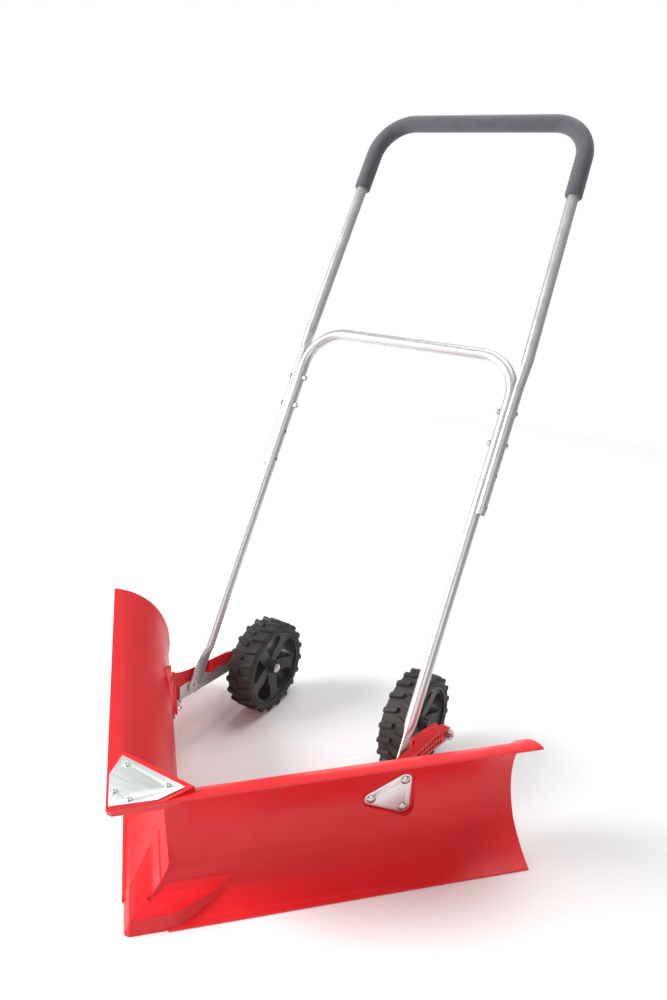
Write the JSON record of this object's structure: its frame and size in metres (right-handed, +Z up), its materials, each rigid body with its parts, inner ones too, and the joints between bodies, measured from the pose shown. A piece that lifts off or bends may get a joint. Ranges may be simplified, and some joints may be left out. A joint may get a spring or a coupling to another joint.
{
  "type": "wheeled snow shovel",
  "caption": "V-shaped wheeled snow pusher with two curved wings, lugged wheels on arms and a folding two-piece U handle with a foam grip.",
  "frame": {"origin": "middle of the footprint, on the ground", "axes": "+Z up, +X to the user's right when pushing, the blade's point faces -Y and the handle leans back over +Y"},
  "size_m": [0.9674, 1.1947, 1.2116],
  "materials": {
    "blade_plastic": "satin injection-moulded red",
    "arm_plastic": "satin injection-moulded red",
    "silver_tube": "satin silver paint on steel",
    "grip_foam": "matt closed-cell foam sleeve",
    "rim_plastic": "semi-matt charcoal",
    "tyre_rubber": "matt moulded tread",
    "plate_steel": "bright zinc-plated sheet",
    "zinc_fastener": "zinc-plated"
  },
  "bodies": {
    "chassis": {"arm_bar_left": "silver_tube", "arm_bar_right": "silver_tube", "axle_bolt_left": "zinc_fastener", "axle_bolt_right": "zinc_fastener", "axle_nut_left": "zinc_fastener", "axle_nut_right": "zinc_fastener", "axle_spacer_left": "zinc_fastener", "axle_spacer_right": "zinc_fastener", "axle_washer_left": "zinc_fastener", "axle_washer_right": "zinc_fastener", "carriage_bolt_left_1": "zinc_fastener", "carriage_bolt_left_2": "zinc_fastener", "carriage_bolt_left_3": "zinc_fastener", "carriage_bolt_right_1": "zinc_fastener", "carriage_bolt_right_2": "zinc_fastener", "carriage_bolt_right_3": "zinc_fastener", "carriage_nut_left_1": "zinc_fastener", "carriage_nut_left_2": "zinc_fastener", "carriage_nut_left_3": "zinc_fastener", "carriage_nut_right_1": "zinc_fastener", "carriage_nut_right_2": "zinc_fastener", "carriage_nut_right_3": "zinc_fastener", "corner_plate": "plate_steel", "corner_screw_left_1": "zinc_fastener", "corner_screw_left_2": "zinc_fastener", "corner_screw_right_1": "zinc_fastener", "corner_screw_right_2": "zinc_fastener", "left_blade": "blade_plastic", "mount_plate_left": "plate_steel", "mount_plate_right": "plate_steel", "nose_cap": "blade_plastic", "nose_screw_left_1": "zinc_fastener", "nose_screw_left_2": "zinc_fastener", "nose_screw_right_1": "zinc_fastener", "nose_screw_right_2": "zinc_fastener", "pivot_bolt_left": "zinc_fastener", "pivot_bolt_right": "zinc_fastener", "pivot_nut_left": "zinc_fastener", "pivot_nut_right": "zinc_fastener", "right_blade": "blade_plastic", "wheel_arm_left": "arm_plastic", "wheel_arm_right": "arm_plastic"},
    "handle": {"foam_grip": "grip_foam", "handle_bolt_left_1": "zinc_fastener", "handle_bolt_left_2": "zinc_fastener", "handle_bolt_right_1": "zinc_fastener", "handle_bolt_right_2": "zinc_fastener", "handle_nut_left_1": "zinc_fastener", "handle_nut_left_2": "zinc_fastener", "handle_nut_right_1": "zinc_fastener", "handle_nut_right_2": "zinc_fastener", "lower_frame": "silver_tube", "upper_handle": "silver_tube"},
    "left_wheel": {"wheel_rim_left": "rim_plastic", "wheel_tyre_left": "tyre_rubber"},
    "right_wheel": {"wheel_rim_right": "rim_plastic", "wheel_tyre_right": "tyre_rubber"}
  },
  "joints": [
    {"name": "handle_fold", "type": "hinge", "parent": "chassis", "child": "handle", "pos_m": [0, -0.14273, 0.1248], "axis": [1, 0, 0], "range_deg": [-10, 60]},
    {"name": "left_wheel_spin", "type": "hinge", "parent": "chassis", "child": "left_wheel", "pos_m": [-0.1836, 0.02367, 0.1], "axis": [1, 0, 0], "continuous": true},
    {"name": "right_wheel_spin", "type": "hinge", "parent": "chassis", "child": "right_wheel", "pos_m": [0.1836, 0.02367, 0.1], "axis": [1, 0, 0], "continuous": true}
  ]
}
